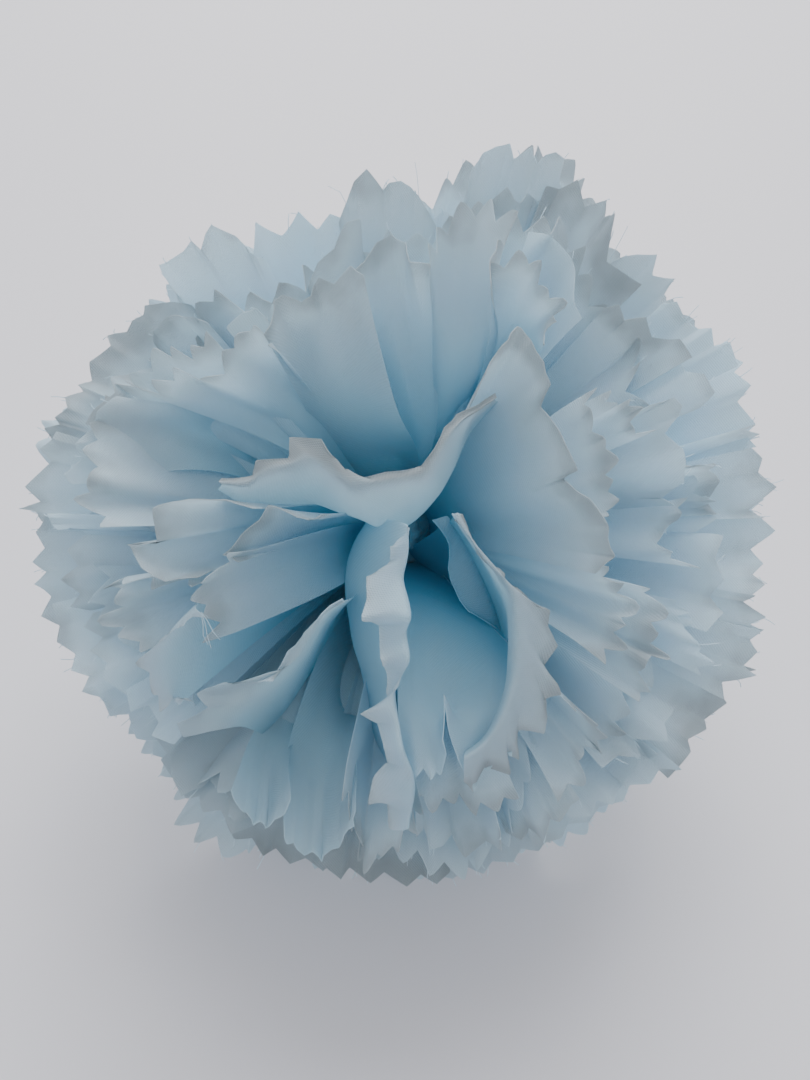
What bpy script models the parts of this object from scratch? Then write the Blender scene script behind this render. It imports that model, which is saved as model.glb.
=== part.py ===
"""A silk carnation head, resting on its lowest petals and on the end of its calyx.

Eight tiers of pinked cloth are threaded on the post of a long tubular plastic calyx. Every tier is a
thick collar with cloth petals round it. A petal is a fan between a short arc on the collar and a rim
line. Rim lines are drawn in two angles, seen from the front of the bloom: the azimuth round the
bloom's axis, from the right and anticlockwise, and the polar angle off the axis.
"""

import bmesh
import bpy
import numpy as np
from mathutils import Matrix

# Driving dimensions, in metres unless they say degrees
FRONT_REACH = 0.0364
SIDE_REACH = 0.0463
CLOTH = 0.0006
TOOTH_PITCH = 0.0036
TIERS = 8
COLLAR_PITCH = 0.0010
COLLAR_THICK = 0.0007
COLLAR_EDGE = 0.00045
ROOT_RADII = (0.0027, 0.00345, 0.00415, 0.0048, 0.00535, 0.0058, 0.00615, 0.0064)
HOLE_RADIUS = 0.0015
LOWEST_COLLAR = -0.0014
POST_RADIUS = 0.0012
TOUCH = 0.0003
SEPALS = 6
SEPAL_ROOT = 0.0076
SEPAL_TIP = 0.0118
AXIS_RISE = 50.0
CALYX_LENGTH = 0.0350
STUB_RADIUS = 0.0026
HEART_SHIFT = np.array((3.3, 5.0))
SHIFT_ENDS = 72.0
PRESS_SOFTNESS = 0.0006
FLAT_CUT = 0.00012

# The bloom isn't quite round: azimuths in degrees, and the share of the side reach there
OUTLINE = (
    (0, 1.0), (20, 1.0), (40, 0.955), (55, 0.985), (68, 1.04), (76, 1.0), (87, 0.91), (96, 0.92),
    (106, 0.87), (122, 0.92), (150, 0.925), (160, 0.95), (175, 1.01), (190, 1.0), (215, 0.965),
    (245, 0.965), (270, 1.01), (290, 1.0), (313, 0.97), (330, 1.01), (345, 1.0), (360, 1.0),
)

# Height of the bloom's root above the floor, when the end of the calyx touches it
RISE = np.radians(AXIS_RISE)
HEART_HEIGHT = CALYX_LENGTH * np.sin(RISE) + STUB_RADIUS * np.cos(RISE) - FLAT_CUT

# Rows of a petal, as shares of its length, and the share below which every second column is merged
ROWS = (0.0, 0.22, 0.48, 0.74, 0.945)
COARSE_BELOW = 0.6

# Petals of the heart: rim line, then how far its lower part leans and its rim hooks over, in degrees
HEART = {
    1: {
        "ribbon": {
            "rim": [(48, 15.5), (42, 9), (350, 4), (205, 5), (181, 10), (163, 16), (171, 20), (181, 28)],
            "lean": (2, -15),
            "root": (250, 120),
        },
        "lower_wall": {
            "rim": [(262, 7), (264, 15), (266, 24), (266, 33), (266, 41)],
            "lean": (-6, 0),
            "hook": (-4, 0),
            "root": (235, 50),
        },
        "right_wall": {
            "rim": [(277, 7), (288, 11), (296, 17), (304, 23), (302, 29), (297, 33), (291, 38), (285, 41)],
            "lean": (-4, -3),
            "hook": (2.5, 1.5),
            "root": (300, 60),
        },
    },
    2: {
        "right": {
            "rim": [
                (63, 17), (57, 24), (47, 23), (35, 20), (20, 20), (6, 19), (352, 22), (344, 27), (335, 27),
            ],
            "root": (10, 80),
        },
        "upper_left": {
            "rim": [(106, 28), (113, 31), (120, 30), (128, 27), (138, 26), (147, 30), (155, 31), (163, 36)],
            "root": (132, 80),
        },
        "lower_left": {
            "rim": [(200, 30), (206, 34), (212, 37), (216, 43), (222, 47)],
            "root": (215, 50),
        },
        "lower_fold": {
            "rim": [(236, 22), (235, 29), (232, 36), (227, 42), (230, 47)],
            "lean": (-5, -3),
            "root": (247, 28),
        },
        "lower_valley": {
            "rim": [(271, 44), (277, 47), (283, 45), (288, 47)],
            "root": (285, 40),
        },
    },
    3: {
        "top": {
            "rim": [(105, 34), (100, 37), (95, 34), (91, 30), (88, 34), (82, 38), (76, 35)],
            "root": (92, 50),
        },
        "upper_right": {
            "rim": [(73, 33), (67, 36), (61, 36), (55, 32), (48, 34), (41, 31)],
            "root": (55, 45),
        },
        "right_back": {
            "rim": [(34, 27), (24, 30), (14, 26), (5, 27), (354, 28), (348, 33), (341, 34)],
            "root": (8, 50),
        },
        "lower_right": {
            "rim": [(332, 30), (326, 35), (321, 34), (316, 40), (309, 43)],
            "root": (318, 50),
        },
        "bottom": {
            "rim": [(264, 53), (256, 50), (249, 53), (243, 51)],
            "root": (258, 36),
        },
        "left": {
            "rim": [(180, 33), (187, 38), (193, 42), (200, 43), (208, 47)],
            "root": (192, 50),
        },
        "left_back": {
            "rim": [(137, 35), (146, 37), (153, 41), (160, 44), (168, 43)],
            "root": (150, 50),
        },
    },
}

# How far the heart's tiers stay inside the wave of the first regular tier, in degrees
HEART_GAPS = {1: 12.0, 2: 8.0, 3: 4.5}

# Tiers behind the heart: polar angle of each in degrees, and how many petals it is cut into
REGULAR = {4: (47.5, 8), 5: (56.5, 8), 6: (66.5, 8), 7: (78.0, 8), 8: (94.0, 8)}

# Waves round the bloom: how many, their size in degrees, their turn with the polar angle, their phase
SHARED_WAVES = ((5, 2.2, 0.035, 0.4), (8, 2.6, -0.030, 2.1), (13, 2.0, 0.045, 4.0), (21, 1.1, -0.040, 1.0))
OWN_RIPPLE = 0.9
SHINGLE = 1.5
OVERLAP = 1.16
SEED = 8

# Faces of a four-sided prism: the lower four corners come first
BOX_FACES = ((0, 3, 2, 1), (4, 5, 6, 7), (0, 1, 5, 4), (1, 2, 6, 5), (2, 3, 7, 6), (3, 0, 4, 7))

CLOTH_COLOUR = (0.56, 0.73, 0.83, 1)
CALYX_COLOUR = (0.24, 0.37, 0.20, 1)


def material(name, colour, roughness):
    made = bpy.data.materials.new(name)
    made.use_nodes = True
    shader = made.node_tree.nodes["Principled BSDF"]
    shader.inputs["Base Color"].default_value = colour
    shader.inputs["Roughness"].default_value = roughness
    shader.inputs["Metallic"].default_value = 0.0
    return made


def in_plane(points):
    """(azimuth, polar) pairs as points of a plane whose radius is the polar angle."""
    azimuth, polar = np.radians([p[0] for p in points]), np.array([p[1] for p in points], float)
    return np.stack((polar * np.cos(azimuth), polar * np.sin(azimuth)), axis=1)


def smooth_line(points, count):
    """count points at even steps along a Catmull-Rom curve through the given points."""
    ends = np.concatenate((2 * points[:1] - points[1:2], points, 2 * points[-1:] - points[-2:-1]))
    t = np.linspace(0, 1, 12, endpoint=False)[:, None]
    pieces = []
    for a, b, c, d in zip(ends, ends[1:], ends[2:], ends[3:]):
        square = 2 * a - 5 * b + 4 * c - d
        cube = 3 * b - a - 3 * c + d
        pieces.append(0.5 * (2 * b + (c - a) * t + square * t**2 + cube * t**3))
    line = np.concatenate(pieces + [points[-1:]])
    along = np.concatenate(([0], np.cumsum(np.linalg.norm(np.diff(line, axis=0), axis=1))))
    wanted = np.linspace(0, along[-1], count)
    return np.stack([np.interp(wanted, along, line[:, i]) for i in range(2)], axis=1)


def shared_wave(azimuth, polar):
    """The wave that all tiers follow, so that they nest. It turns slowly with the polar angle."""
    return sum(size * np.sin(n * azimuth + turn * polar + phase) for n, size, turn, phase in SHARED_WAVES)


def reach(azimuth, polar):
    """How far the bloom reaches, at an azimuth in radians and a polar angle in degrees."""
    share = np.interp(np.degrees(azimuth) % 360, [p[0] for p in OUTLINE], [p[1] for p in OUTLINE])
    side = SIDE_REACH * share
    return FRONT_REACH + (side - FRONT_REACH) * np.sin(np.radians(np.minimum(polar, 90))) ** 2


def collar_height(tier):
    return LOWEST_COLLAR + (TIERS - tier) * COLLAR_PITCH


def petal_points(petal, u, s):
    """Points of a petal's middle surface. u runs along the rim and s from root to rim, from 0 to 1."""
    rim = smooth_line(petal["rim"], 160)
    place = np.linspace(0, 1, len(rim))
    line = np.stack([np.interp(u, place, rim[:, i]) for i in range(2)], axis=-1)
    hook = np.clip((s - 0.78) / 0.22, 0, 1) ** 1.5
    plane = line * (0.60 + 0.40 * s[..., None] ** 0.8)
    plane = plane + (1 - s[..., None]) * petal["lean"] + hook[..., None] * petal["hook"]
    far = np.linalg.norm(plane, axis=-1, keepdims=True)
    plane = plane + HEART_SHIFT * (1 - np.clip(far / SHIFT_ENDS, 0, 1)) ** 1.5
    polar = np.linalg.norm(plane, axis=-1)
    azimuth = np.arctan2(plane[..., 1], plane[..., 0])
    slope = np.radians(polar)
    aside = np.sin(slope)
    out = np.stack((aside * np.cos(azimuth), aside * np.sin(azimuth), np.cos(slope)), axis=-1)
    rounding = 1 - petal["rounding"] * np.abs(2 * u - 1) ** 3.5
    length = reach(azimuth, polar) * petal["length"] * (1 - (1 - rounding) * s)
    middle, width = np.radians(petal["root"])
    turn = middle + (u - 0.5) * width * petal["sense"]
    radius = ROOT_RADII[petal["tier"] - 1]
    height = np.full_like(u, collar_height(petal["tier"]))
    root = np.stack((radius * np.cos(turn), radius * np.sin(turn), height), axis=-1)
    return root * (1 - s[..., None]) ** 1.6 + out * (length * s)[..., None]


def nested(rim, gap):
    """A rim line, kept inside the wave of the first regular tier by a gap in degrees."""
    polar = np.linalg.norm(rim, axis=1)
    azimuth = np.arctan2(rim[:, 1], rim[:, 0])
    first = REGULAR[4][0]
    room = first + shared_wave(azimuth, first) - gap - polar
    return rim * (1 - np.logaddexp(0, -room) / polar)[:, None]


def heart_petals(tier):
    """The petals of a tier whose rim lines are drawn one by one."""
    petals = []
    for name, drawn in HEART[tier].items():
        rim = nested(in_plane(drawn["rim"]), HEART_GAPS[tier])
        turning = np.diff(np.unwrap(np.arctan2(rim[:, 1], rim[:, 0]))).sum()
        petals.append({
            "tier": tier, "rim": rim, "lean": np.array(drawn.get("lean", (0, 0)), float),
            "hook": np.array(drawn.get("hook", (0, 0)), float), "root": drawn["root"],
            "sense": 1 if turning > 0 else -1, "length": drawn.get("length", 1.0), "rounding": 0.03,
        })
    return petals


def regular_petals(tier):
    """The petals of a tier that goes all the way round: even shares of it, each lapped over the next."""
    polar, count = REGULAR[tier]
    random = np.random.default_rng(SEED + tier)
    share = 360 / count
    start = random.uniform(0, share)
    petals = []
    for i in range(count):
        middle = start + i * share + random.uniform(-2.5, 2.5)
        across = np.linspace(-1, 1, 15)
        azimuth = np.radians(middle + across * share * OVERLAP / 2)
        ripple = OWN_RIPPLE * np.sin(across * random.uniform(5, 8) + random.uniform(0, 6.28))
        angle = polar + random.uniform(-0.8, 0.8) + shared_wave(azimuth, polar) + SHINGLE * across + ripple
        petals.append({
            "tier": tier, "rim": np.stack((angle * np.cos(azimuth), angle * np.sin(azimuth)), axis=1),
            "lean": np.zeros(2), "hook": np.zeros(2), "root": (middle, share), "sense": 1,
            "length": random.uniform(0.96, 1.02), "rounding": 0.07,
        })
    return petals


def pressed(points):
    """Points of the bloom's frame, where cloth that would reach below the floor bends along it instead."""
    lean = np.array(Matrix.Rotation(np.radians(90 - AXIS_RISE), 3, "X"))
    rest = CLOTH / 2 - FLAT_CUT
    world = points @ lean.T + (0, 0, HEART_HEIGHT)
    world[:, 2] = rest + PRESS_SOFTNESS * np.logaddexp(0, (world[:, 2] - rest) / PRESS_SOFTNESS)
    return (world - (0, 0, HEART_HEIGHT)) @ lean


def petal_mesh(petal):
    """One petal as a sheet of triangles: fewer columns near the root, and a tooth on each at the rim."""
    rim = petal_points(petal, np.linspace(0, 1, 80), np.full(80, 0.96))
    around = np.linalg.norm(np.diff(rim, axis=0), axis=1).sum()
    columns = max(4, 2 * round(around / TOOTH_PITCH / 2))
    u, s = np.meshgrid(np.linspace(0, 1, columns + 1), ROWS)
    tips_u = (np.arange(columns) + 0.5) / columns
    u, s = np.concatenate((u.ravel(), tips_u)), np.concatenate((s.ravel(), np.ones(columns)))
    places = pressed(petal_points(petal, u, s))
    sheet = bmesh.new()
    verts = [sheet.verts.new(place) for place in places]
    wide = columns + 1
    for row in range(len(ROWS) - 1):
        for column in range(columns):
            a = row * wide + column
            sheet.faces.new((verts[a], verts[a + 1], verts[a + wide + 1], verts[a + wide]))
    last = (len(ROWS) - 1) * wide
    for column in range(columns):
        sheet.faces.new((verts[last + column], verts[last + column + 1], verts[len(ROWS) * wide + column]))
    merged = {
        verts[row * wide + column]: verts[row * wide + column + 1]
        for row in range(len(ROWS)) if ROWS[row] < COARSE_BELOW for column in range(1, columns, 2)
    }
    bmesh.ops.weld_verts(sheet, targetmap=merged)
    bmesh.ops.triangulate(sheet, faces=sheet.faces)
    made = bpy.data.meshes.new("petal")
    sheet.to_mesh(made)
    sheet.free()
    return made


def add_to(collection, name, mesh):
    made = bpy.data.objects.new(name, mesh)
    collection.objects.link(made)
    return made


def turned_solid(name, profile, collection, steps=24):
    """A solid round the bloom's axis: a closed profile of (radius, height) points, turned by a Screw."""
    mesh = bpy.data.meshes.new(name)
    count = len(profile)
    mesh.from_pydata([(r, 0, z) for r, z in profile], [(i, (i + 1) % count) for i in range(count)], [])
    made = add_to(collection, name, mesh)
    screw = made.modifiers.new("turn", "SCREW")
    screw.steps = screw.render_steps = steps
    screw.use_merge_vertices = True
    screw.merge_threshold = 0.00001
    return applied(made)


def applied(made):
    """Replaces an object's mesh by its evaluated one, with no modifiers left."""
    bpy.context.view_layer.update()
    graph = bpy.context.evaluated_depsgraph_get()
    final = bpy.data.meshes.new_from_object(made.evaluated_get(graph))
    made.modifiers.clear()
    made.data = final
    return made


def outward(made):
    shell = bmesh.new()
    shell.from_mesh(made.data)
    bmesh.ops.remove_doubles(shell, verts=shell.verts, dist=0.000001)
    bmesh.ops.recalc_face_normals(shell, faces=shell.faces)
    shell.to_mesh(made.data)
    shell.free()
    return made


def fused(body, others):
    """body joined with all objects of a collection, which are removed."""
    union = body.modifiers.new("union", "BOOLEAN")
    union.operation = "UNION"
    union.operand_type = "COLLECTION"
    union.collection = others
    union.solver = "MANIFOLD"
    applied(body)
    for other in list(others.objects):
        bpy.data.objects.remove(other)
    bpy.data.collections.remove(others)
    return body


def petal_tier(tier, collection, cloth):
    """One layer of cloth: its collar, with all its petals fused on."""
    low = collar_height(tier) - COLLAR_THICK / 2
    high = low + COLLAR_THICK
    edge = ROOT_RADII[tier - 1] + COLLAR_EDGE
    ring = [(HOLE_RADIUS, low), (edge, low), (edge, high), (HOLE_RADIUS, high)]
    body = outward(turned_solid(f"petal_tier_{tier}", ring, collection))
    loose = bpy.data.collections.new("petals")
    bpy.context.scene.collection.children.link(loose)
    for petal in heart_petals(tier) if tier in HEART else regular_petals(tier):
        sheet = add_to(loose, "petal", petal_mesh(petal))
        thick = sheet.modifiers.new("cloth", "SOLIDIFY")
        thick.thickness = CLOTH
        thick.offset = 0
        applied(sheet)
    fused(body, loose)
    body.data.materials.clear()
    body.data.materials.append(cloth)
    return body


def calyx(collection, plastic):
    """The green cup below the bloom, moulded in one with the post, its barbed head and the cut stub."""
    seat = LOWEST_COLLAR - COLLAR_THICK / 2 - TOUCH
    top = collar_height(1) + COLLAR_THICK / 2 + TOUCH
    profile = [
        (0, top + 0.0018), (0.0010, top + 0.0016), (0.0019, top + 0.0010), (0.0021, top + 0.0005),
        (0.0019, top), (POST_RADIUS, top), (POST_RADIUS, seat), (0.0074, seat),
        (SEPAL_TIP - 0.0003, 0.0003), (SEPAL_TIP, -0.0002), (0.0084, -0.0029), (0.0066, -0.0060),
        (0.0064, -0.0120), (0.0056, -0.0200), (0.0042, -0.0255), (0.0031, -0.0280),
        (STUB_RADIUS, -0.0290), (STUB_RADIUS, -CALYX_LENGTH), (0, -CALYX_LENGTH),
    ]
    cup = outward(turned_solid("calyx", profile, collection, 36))
    cup.data.materials.append(plastic)
    return cup


def sepal_notches(cup, cutters):
    """Wedges between the sepals, cut from the flared mouth."""
    notches = bpy.data.collections.new("sepal_notches")
    cutters.children.link(notches)
    for i in range(SEPALS):
        turn = 2 * np.pi * (i + 0.5) / SEPALS
        half = np.pi / SEPALS
        wide = SEPAL_TIP * 1.01
        corners = [(SEPAL_ROOT, turn), (wide, turn - half), (wide * 1.3, turn), (wide, turn + half)]
        mesh = bpy.data.meshes.new("notch")
        verts = [(r * np.cos(t), r * np.sin(t), z) for z in (-0.0060, 0.0020) for r, t in corners]
        mesh.from_pydata(verts, [], BOX_FACES)
        add_to(notches, "notch", mesh)
    cut = cup.modifiers.new("notches", "BOOLEAN")
    cut.operation = "DIFFERENCE"
    cut.operand_type = "COLLECTION"
    cut.collection = notches
    cut.solver = "EXACT"
    return notches


def flat_below(body, floor):
    """Trims what reaches the floor to a small flat, so that the bloom rests on it."""
    trim = body.modifiers.new("flat", "BOOLEAN")
    trim.operation = "DIFFERENCE"
    trim.object = floor
    trim.solver = "EXACT"


def floor_cutter(cutters):
    mesh = bpy.data.meshes.new("floor")
    wide = 0.2
    corners = [(-wide, -wide), (wide, -wide), (wide, wide), (-wide, wide)]
    verts = [(x, y, z) for z in (-0.03, 0) for x, y in corners]
    mesh.from_pydata(verts, [], BOX_FACES)
    return add_to(cutters, "floor", mesh)


def lean_and_centre(head, notches, stand):
    """Leans the bloom's frame back on the calyx, and centres the bounding box on the origin."""
    stand.rotation_euler.x = np.radians(90 - AXIS_RISE)
    stand.location.z = HEART_HEIGHT
    for body in list(head.objects) + list(notches.objects):
        if body is not stand:
            body.parent = stand
    bpy.context.view_layer.update()
    corners = np.concatenate([
        np.array([body.matrix_world @ v.co for v in body.data.vertices])
        for body in head.objects if body is not stand
    ])
    middle = (corners.min(axis=0) + corners.max(axis=0)) / 2
    stand.location.x = -middle[0]
    stand.location.y = -middle[1]


def build():
    for old in list(bpy.data.objects):
        bpy.data.objects.remove(old)
    head = bpy.data.collections.new("silk_carnation")
    cutters = bpy.data.collections.new("cutters")
    for group in (head, cutters):
        bpy.context.scene.collection.children.link(group)
    cloth = material("petal_cloth", CLOTH_COLOUR, 0.55)
    plastic = material("calyx_plastic", CALYX_COLOUR, 0.45)
    for tier in range(1, TIERS + 1):
        petal_tier(tier, head, cloth)
    cup = calyx(head, plastic)
    notches = sepal_notches(cup, cutters)
    floor = floor_cutter(cutters)
    flat_below(cup, floor)
    flat_below(head.objects[f"petal_tier_{TIERS}"], floor)
    lean_and_centre(head, notches, add_to(head, "bloom_frame", None))
    for cutter in cutters.all_objects:
        cutter.hide_render = True
        cutter.display_type = "WIRE"


build()
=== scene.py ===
# %% [markdown]
# # A satin carnation head
#
# The real object is the head of a craft carnation: discs of pale blue satin, pinked along the rim,
# cut into petals, gathered and threaded on a green plastic calyx. It lies on a table on its lowest
# petals and on the end of the calyx, with its face to the camera.
#
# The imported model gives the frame: where the head lies, how large it is and which solids it has.
# Here every tier of cloth is made again as a fine surface, and takes the place of its plain solid.

import bpy
import numpy as np
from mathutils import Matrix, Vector


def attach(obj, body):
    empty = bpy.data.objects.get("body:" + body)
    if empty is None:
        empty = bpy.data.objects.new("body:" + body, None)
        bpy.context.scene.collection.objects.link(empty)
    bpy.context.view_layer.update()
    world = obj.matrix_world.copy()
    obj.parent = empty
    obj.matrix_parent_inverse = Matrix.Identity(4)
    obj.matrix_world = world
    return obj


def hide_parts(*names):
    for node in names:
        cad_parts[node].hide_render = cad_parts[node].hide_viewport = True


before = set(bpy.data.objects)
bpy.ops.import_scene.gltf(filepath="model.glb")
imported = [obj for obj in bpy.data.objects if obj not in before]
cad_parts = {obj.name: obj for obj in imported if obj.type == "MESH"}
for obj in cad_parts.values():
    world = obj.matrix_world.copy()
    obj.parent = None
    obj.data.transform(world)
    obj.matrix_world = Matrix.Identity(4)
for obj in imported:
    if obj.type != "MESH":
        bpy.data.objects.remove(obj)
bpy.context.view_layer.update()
print("solids:", sorted(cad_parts))

# %% [markdown]
# ## The bloom's own frame
#
# A bloom is easiest to draw as it is seen from the front. So the petals are worked out in a frame of
# their own, with the root of the bloom at the origin, x across, y up the face and z out of the face.
# The head leans back on its calyx, so that frame stands on a slope, and one small matrix turns its
# points into the points of the room.

# %% From the bloom's frame to the room
ROOT = np.array((0.00102, 0.00456, 0.02836))
RISE = np.radians(50)
ACROSS = (1, 0, 0)
UP_THE_FACE = (0, np.sin(RISE), np.cos(RISE))
OUT_OF_THE_FACE = (0, -np.cos(RISE), np.sin(RISE))
BLOOM = np.array((ACROSS, UP_THE_FACE, OUT_OF_THE_FACE))


def to_room(points):
    """Each point is the root plus x, y and z times the bloom's three directions."""
    return points @ BLOOM + ROOT


def to_bloom(points):
    """The way back: the offset from the root, measured along the bloom's three directions."""
    return (points - ROOT) @ BLOOM.T


print("the face looks up at", round(np.degrees(RISE)), "degrees above the table")

# %% [markdown]
# ## Camera
#
# The photo was taken with a phone from close by, along the bloom's axis, so near petals look much
# larger than far ones. A wide lens close to the petals gives the same look. A long lens from far
# away would draw the same outline, but the ruffles of the heart would look small. Lengths in the
# picture, the focal length too, are in pixels of the photo.

# %% Place the camera on the bloom's axis
camera = bpy.data.objects.new("camera", bpy.data.cameras.new("camera"))
bpy.context.scene.collection.objects.link(camera)
bpy.context.scene.camera = camera
AWAY = 0.104
FOCAL_LENGTH = 820.0
PICTURE_WIDTH, PICTURE_HEIGHT = 810.0, 1080.0
AXIS_IN_PICTURE = np.array((398.0, 532.0))
camera.location = to_room(np.array((0, 0, AWAY)))
camera.rotation_euler = (np.pi / 2 - RISE, 0, 0)
camera.data.lens = FOCAL_LENGTH / PICTURE_HEIGHT * camera.data.sensor_width
camera.data.shift_x = (PICTURE_WIDTH / 2 - AXIS_IN_PICTURE[0]) / PICTURE_HEIGHT
camera.data.shift_y = (AXIS_IN_PICTURE[1] - PICTURE_HEIGHT / 2) / PICTURE_HEIGHT
camera.data.clip_start = 0.005
camera.data.dof.use_dof = False
print("lens:", round(camera.data.lens, 1), "mm, from", round(1000 * AWAY), "mm")

# %% [markdown]
# ## How far the bloom reaches
#
# The face of the head is a flattened ball: it reaches 36 mm in front and about 46 mm at the sides,
# and the outline in the photo isn't quite round. All tiers share this reach, and they share one wavy
# ruffle too, so that most petals nest in each other, as real gathered ones do, instead of crossing.

# %% Reach and shared ruffle
FRONT_REACH = 0.0364
SIDE_REACH = 0.0463
OUTLINE = (
    (0, 0.95), (15, 0.95), (30, 0.945), (42, 0.915), (54, 0.955), (62, 0.99), (69, 1.045), (76, 0.99),
    (84, 0.88), (92, 0.895), (100, 0.845), (114, 0.845), (126, 0.91), (142, 0.875), (156, 0.905),
    (165, 0.955), (174, 0.97), (183, 0.93), (200, 0.915), (218, 0.87), (234, 0.925), (243, 0.94),
    (262, 0.915), (276, 0.945), (290, 0.955), (312, 0.91), (336, 0.95), (350, 0.91), (360, 0.95),
)
RUFFLE = ((5, 2.2, 0.035, 0.4), (8, 2.6, -0.030, 2.1), (13, 2.0, 0.045, 4.0), (21, 1.1, -0.040, 1.0))


def reach(azimuth, polar):
    """The front reach, plus the rest of the side reach times the squared sine of the polar angle."""
    places, shares = np.array(OUTLINE).T
    side = SIDE_REACH * np.interp(np.degrees(azimuth) % 360, places, shares)
    return FRONT_REACH + (side - FRONT_REACH) * np.sin(np.radians(np.minimum(polar, 90))) ** 2


def ruffle(azimuth, polar):
    """A sum of sine waves round the bloom, in degrees: the number of waves, their size, how far they
    turn for each degree of the polar angle, and their phase."""
    return sum(size * np.sin(n * azimuth + turn * polar + phase) for n, size, turn, phase in RUFFLE)


def two_angles(points):
    """Azimuth anticlockwise from the right, and polar angle away from the axis."""
    far = np.linalg.norm(points, axis=-1)
    return np.arctan2(points[..., 1], points[..., 0]), np.degrees(np.arccos(points[..., 2] / far))


def at_angles(azimuth, polar, share):
    """The point in the direction of two angles, at a share of the bloom's reach there."""
    aside = np.sin(np.radians(polar))
    out = np.stack((aside * np.cos(azimuth), aside * np.sin(azimuth), np.cos(np.radians(polar))), axis=-1)
    return out * np.asarray(reach(azimuth, polar) * share)[..., None]


around = np.radians(np.arange(360))
print("the ruffle swings by", round(float(np.ptp(ruffle(around, 60))), 1), "degrees")

# %% [markdown]
# ## Places in the picture
#
# The petals of the heart are drawn where the photo shows them. A point is given by its place in the
# picture, in pixels, and by its share of the bloom's reach: 0 at the root and 1 where the rims are.
# The line of sight through the pixel meets that distance at one point in front of the root.

# %% From a place in the picture to a point of the bloom
ROUNDS = 12
LEAST_TURN = 0.006
CURVE_STEPS = 24


def seen_at(places, share):
    """The line of sight runs from the camera along (x, y, -1), where x and y are the offsets from the
    bloom's axis over the focal length. It is cut with a ball round the root, and a few rounds settle
    the ball's radius, which depends on the direction. A line that passes outside the ball gives its
    nearest point to the root. A place with a third value has its own addition to the share."""
    places = np.asarray(places, float)
    share = share + places[..., 2:].sum(axis=-1)
    offset = (places[..., :2] - AXIS_IN_PICTURE) * (1, -1) / FOCAL_LENGTH
    sight = np.concatenate((offset, np.full(offset.shape[:-1] + (1,), -1.0)), axis=-1)
    square = (sight**2).sum(axis=-1)
    radius = share * FRONT_REACH
    for _ in range(ROUNDS):
        under = np.maximum(AWAY**2 - square * (AWAY**2 - radius**2), 0)
        point = sight * ((AWAY - np.sqrt(under)) / square)[..., None] + (0, 0, AWAY)
        radius = share * reach(*two_angles(point))
    return point


def on_cone(places, polar, share_of_ruffle):
    """The line of sight is cut with a cone of one polar angle, whose wall is waved by the ruffle. The
    cloth of an outer petal lies close to such a cone, so a rim drawn on it has its teeth in the cloth
    too. The azimuth grows from point to point, or else the cloth would run back into itself."""
    across, up = ((np.asarray(places, float)[:, :2] - AXIS_IN_PICTURE) * (1, -1) / FOCAL_LENGTH).T
    least = LEAST_TURN * np.arange(len(across))
    azimuth = np.maximum.accumulate(np.unwrap(np.arctan2(up, across)) - least) + least
    polar = polar + share_of_ruffle * ruffle(azimuth, polar)
    aside, slope = np.hypot(across, up), np.tan(np.radians(polar))
    depth = AWAY * slope / (aside + slope)
    return np.stack((depth * aside * np.cos(azimuth), depth * aside * np.sin(azimuth), AWAY - depth), axis=1)


def past_ends(points):
    """The points with one more at each end, as far out as the last step."""
    return np.concatenate((2 * points[:1] - points[1:2], points, 2 * points[-1:] - points[-2:-1]))


def curve(a, b, c, d, t):
    """The cubic from b to c whose slope at each is half the step between its two neighbours."""
    return 0.5 * (2 * b + (c - a) * t + (2 * a - 5 * b + 4 * c - d) * t**2 + (3 * b - a - 3 * c + d) * t**3)


def step_lengths(points):
    """How far it is from each point, or row of points, to the next."""
    return np.linalg.norm(np.diff(points, axis=0), axis=-1)


def points_at(wanted, along, points):
    """Points at the wanted places of a line whose own points are at the places along it."""
    return np.stack([np.interp(wanted, along, column) for column in points.T], axis=1)


def straight_line(points, count):
    """Straight lines from point to point, cut into count even steps."""
    along = np.concatenate(([0], np.cumsum(step_lengths(points))))
    return points_at(np.linspace(0, along[-1], count), along, points)


def smooth_line(points, count):
    """A smooth curve through all points, cut into count even steps."""
    ends = past_ends(points)
    t = np.linspace(0, 1, CURVE_STEPS, endpoint=False)[:, None]
    line = curve(*(ends[i:len(ends) - 3 + i, None] for i in range(4)), t).reshape(-1, points.shape[1])
    return straight_line(np.concatenate((line, points[-1:])), count)


middle = seen_at((PICTURE_WIDTH / 2, PICTURE_HEIGHT / 2), 1.0)
print("the middle of the picture is", np.round(1000 * middle, 1), "mm from the root")

# %% [markdown]
# ## One petal as a surface
#
# A petal runs from a short arc at the root to its rim, through one or more lines between them. The
# first line between says how the petal bulges, and a line near the rim makes a fold. A smooth curve
# through the lines gives the cloth. Small movements across it make it lively: pleats that come from
# the gathers, a wave and a flutter that grow towards the rim, and teeth that bend one by one.

# %% The petal's surface
STEPS = 200
ROWS = 34
COLLAR_PITCH = 0.0010
LOWEST_COLLAR = -0.0014
TIERS = 8
ROOT_RADII = (0.0027, 0.00345, 0.00415, 0.0048, 0.00535, 0.0058, 0.00615, 0.0064)
ROW_POWER = 0.85
RIM_STEP = 0.03
DEEPEST_CUT = 0.13
CORNERS_FROM, HINGE = 0.80, 0.88
WAVE_LENGTH, FLUTTER_LENGTH, PLEAT_LENGTH = 0.019, 0.0085, 0.0052


def collar(tier):
    """The radius and the height of the ring on the post where a tier is gathered."""
    return ROOT_RADII[tier - 1], LOWEST_COLLAR + (TIERS - tier) * COLLAR_PITCH


def ring(turn, radius, height):
    """Points at the angles of turn, on a circle round the bloom's axis."""
    return np.stack((radius * np.cos(turn), radius * np.sin(turn), np.full(STEPS, height)), axis=1)


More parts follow.
